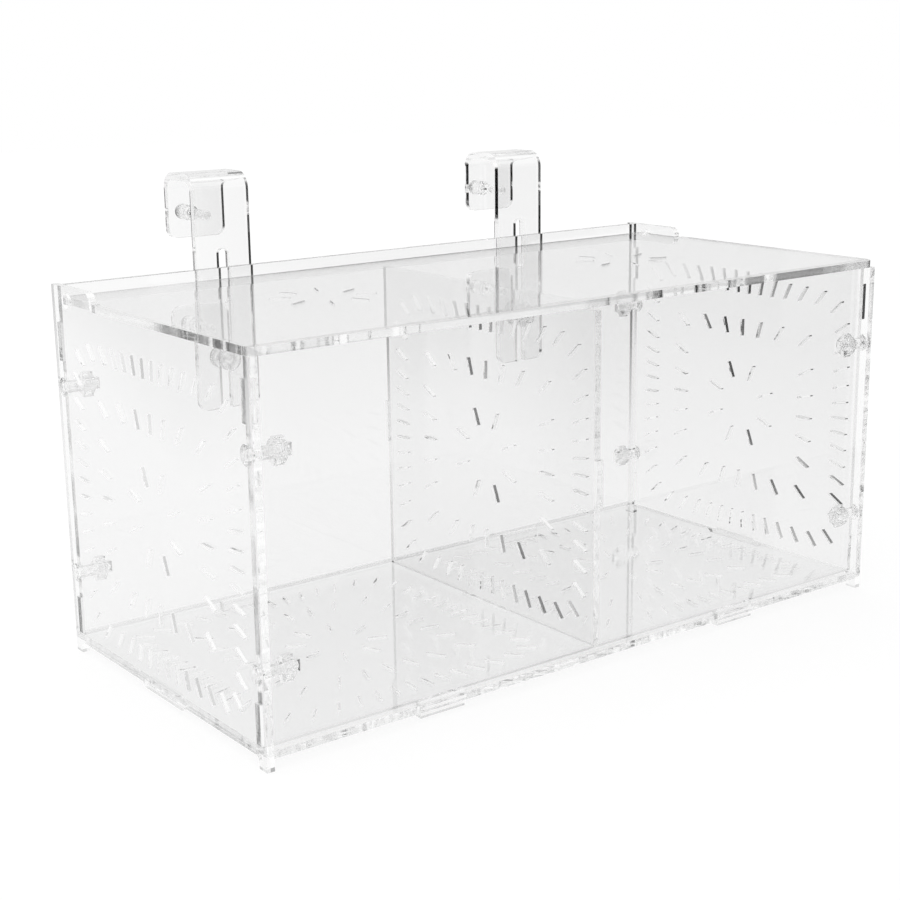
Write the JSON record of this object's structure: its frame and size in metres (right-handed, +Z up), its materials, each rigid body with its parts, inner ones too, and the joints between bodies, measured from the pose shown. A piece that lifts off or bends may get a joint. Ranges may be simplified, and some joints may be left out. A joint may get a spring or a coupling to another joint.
{
  "type": "fish breeding box",
  "caption": "Clear hang-on fish breeding box with slotted water panels, a hinged lid, a fixed divider, and adjustable clamping hangers.",
  "frame": {"origin": "on the ground under the middle of the whole part's box, hangers and clamp screws included", "axes": "+X along the box towards the right side panel, +Y towards the hangers, +Z up"},
  "size_m": [0.306, 0.1828, 0.188],
  "materials": {
    "clear_acrylic_sheet": "laser-cut clear cast acrylic sheet, polished faces and flame-clear cut edges",
    "bent_acrylic_strip": "clear acrylic strip, heat-bent, glossy",
    "clear_moulded_plastic": "clear moulded thermoplastic, slightly cloudy"
  },
  "bodies": {
    "box": {"left_side_panel": "clear_acrylic_sheet", "right_side_panel": "clear_acrylic_sheet", "front_panel": "clear_acrylic_sheet", "back_panel": "clear_acrylic_sheet", "floor_panel": "clear_acrylic_sheet", "divider_panel": "clear_acrylic_sheet", "screw_front_left_lower": "clear_moulded_plastic", "screw_front_left_upper": "clear_moulded_plastic", "screw_front_right_lower": "clear_moulded_plastic", "screw_front_right_upper": "clear_moulded_plastic", "screw_back_left_lower": "clear_moulded_plastic", "screw_back_left_upper": "clear_moulded_plastic", "screw_back_right_lower": "clear_moulded_plastic", "screw_back_right_upper": "clear_moulded_plastic", "nut_front_left_lower": "clear_moulded_plastic", "nut_front_left_upper": "clear_moulded_plastic", "nut_front_right_lower": "clear_moulded_plastic", "nut_front_right_upper": "clear_moulded_plastic", "nut_back_left_lower": "clear_moulded_plastic", "nut_back_left_upper": "clear_moulded_plastic", "nut_back_right_lower": "clear_moulded_plastic", "nut_back_right_upper": "clear_moulded_plastic", "left_hanger_screw": "clear_moulded_plastic", "right_hanger_screw": "clear_moulded_plastic", "left_hanger_nut": "clear_moulded_plastic", "right_hanger_nut": "clear_moulded_plastic"},
    "lid": {"lid_panel": "clear_acrylic_sheet"},
    "left_hanger": {"left_hanger": "bent_acrylic_strip"},
    "right_hanger": {"right_hanger": "bent_acrylic_strip"},
    "left_clamp": {"left_clamp_screw": "clear_moulded_plastic"},
    "right_clamp": {"right_clamp_screw": "clear_moulded_plastic"}
  },
  "joints": [
    {"name": "lid_hinge", "type": "hinge", "parent": "box", "child": "lid", "pos_m": [0, 0.0466, 0.14455], "axis": [-1, 0, 0], "range_deg": [0, 95]},
    {"name": "left_hanger_slide", "type": "slide", "parent": "box", "child": "left_hanger", "axis": [0, 0, 1], "range_m": [-0.034, 0.013]},
    {"name": "right_hanger_slide", "type": "slide", "parent": "box", "child": "right_hanger", "axis": [0, 0, 1], "range_m": [-0.034, 0.013]},
    {"name": "left_clamp_travel", "type": "slide", "parent": "left_hanger", "child": "left_clamp", "axis": [0, -1, 0], "range_m": [-0.008, 0.0025]},
    {"name": "right_clamp_travel", "type": "slide", "parent": "right_hanger", "child": "right_clamp", "axis": [0, -1, 0], "range_m": [-0.008, 0.0025]}
  ]
}
